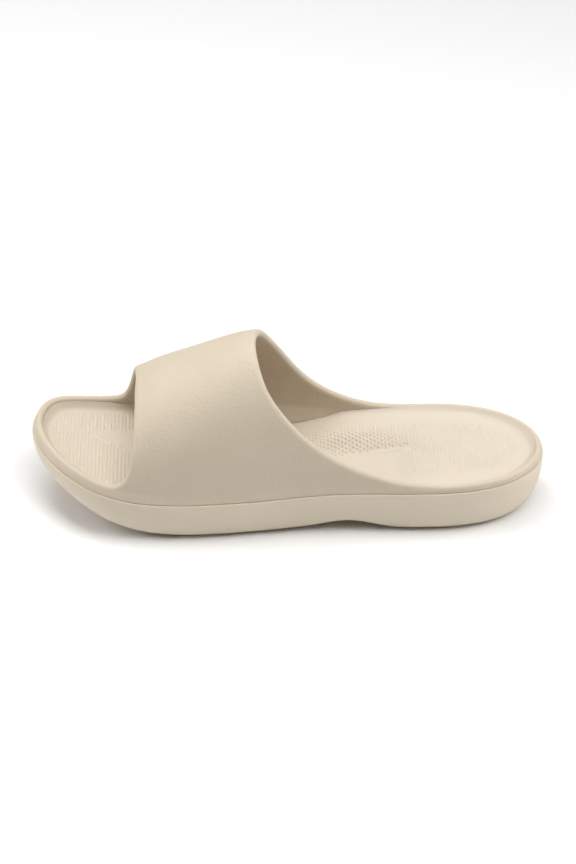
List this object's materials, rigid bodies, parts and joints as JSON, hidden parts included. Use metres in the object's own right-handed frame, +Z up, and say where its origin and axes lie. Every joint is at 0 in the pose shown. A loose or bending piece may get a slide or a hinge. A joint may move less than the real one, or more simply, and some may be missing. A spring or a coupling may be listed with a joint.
{
  "type": "house slipper",
  "caption": "Open-toe slide slipper of moulded beige foam: thick rounded sole, hollow strap upper with a raised rim, and a dished, dimpled footbed with arch support.",
  "frame": {"origin": "on the floor under the middle of the slipper's box", "axes": "+X towards the heel along the foot, +Y towards the inner side of the foot, +Z up"},
  "size_m": [0.2812, 0.1008, 0.0992],
  "materials": {
    "sole": "matt moulded foam, warm beige, slightly pinker than the upper",
    "upper": "matt moulded foam with a fine leather-like grain, warm beige",
    "footbed": "matt moulded foam with staggered dimples, warm beige"
  },
  "bodies": {
    "root": {"sole": "sole", "upper": "upper", "footbed": "footbed"}
  },
  "joints": []
}
